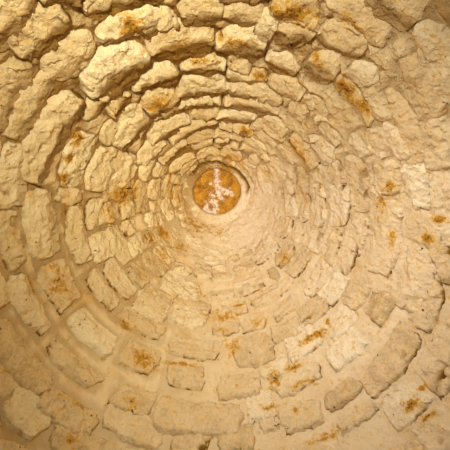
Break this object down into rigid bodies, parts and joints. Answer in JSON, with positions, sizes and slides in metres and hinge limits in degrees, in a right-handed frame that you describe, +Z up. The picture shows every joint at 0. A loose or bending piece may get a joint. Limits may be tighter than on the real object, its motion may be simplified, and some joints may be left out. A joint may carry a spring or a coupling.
{
  "type": "trullo cone roof",
  "caption": "Dry-stone cone roof of a trullo: a corbelled limestone vault open to the room below, rubble fill, a slab skin outside, a round closing stone and a pinnacle.",
  "frame": {"origin": "middle of the springing plane, where the roof sits on the wall head", "axes": "+Z up the axis of the cone"},
  "size_m": [5.4006, 5.4006, 5.3048],
  "materials": {
    "vault_limestone": "rough hewn, lime mortar joints",
    "closing_limestone": "rough, iron stained",
    "rubble": "loose rubble and earth",
    "roof_limestone": "split, weathered",
    "pinnacle_limestone": "dressed, weathered"
  },
  "bodies": {
    "root": {"vault_course_01": "vault_limestone", "vault_course_02": "vault_limestone", "vault_course_03": "vault_limestone", "vault_course_04": "vault_limestone", "vault_course_05": "vault_limestone", "vault_course_06": "vault_limestone", "vault_course_07": "vault_limestone", "vault_course_08": "vault_limestone", "vault_course_09": "vault_limestone", "vault_course_10": "vault_limestone", "vault_course_11": "vault_limestone", "vault_course_12": "vault_limestone", "vault_course_13": "vault_limestone", "vault_course_14": "vault_limestone", "vault_course_15": "vault_limestone", "vault_course_16": "vault_limestone", "vault_course_17": "vault_limestone", "vault_course_18": "vault_limestone", "vault_course_19": "vault_limestone", "vault_course_20": "vault_limestone", "vault_course_21": "vault_limestone", "vault_course_22": "vault_limestone", "vault_course_23": "vault_limestone", "closing_stone": "closing_limestone", "rubble_core": "rubble", "eaves_course": "roof_limestone", "roof_band_01": "roof_limestone", "roof_band_02": "roof_limestone", "roof_band_03": "roof_limestone", "roof_band_04": "roof_limestone", "roof_band_05": "roof_limestone", "roof_band_06": "roof_limestone", "roof_band_07": "roof_limestone", "roof_band_08": "roof_limestone", "roof_band_09": "roof_limestone", "cap_stone": "pinnacle_limestone", "pinnacle": "pinnacle_limestone"}
  },
  "joints": []
}
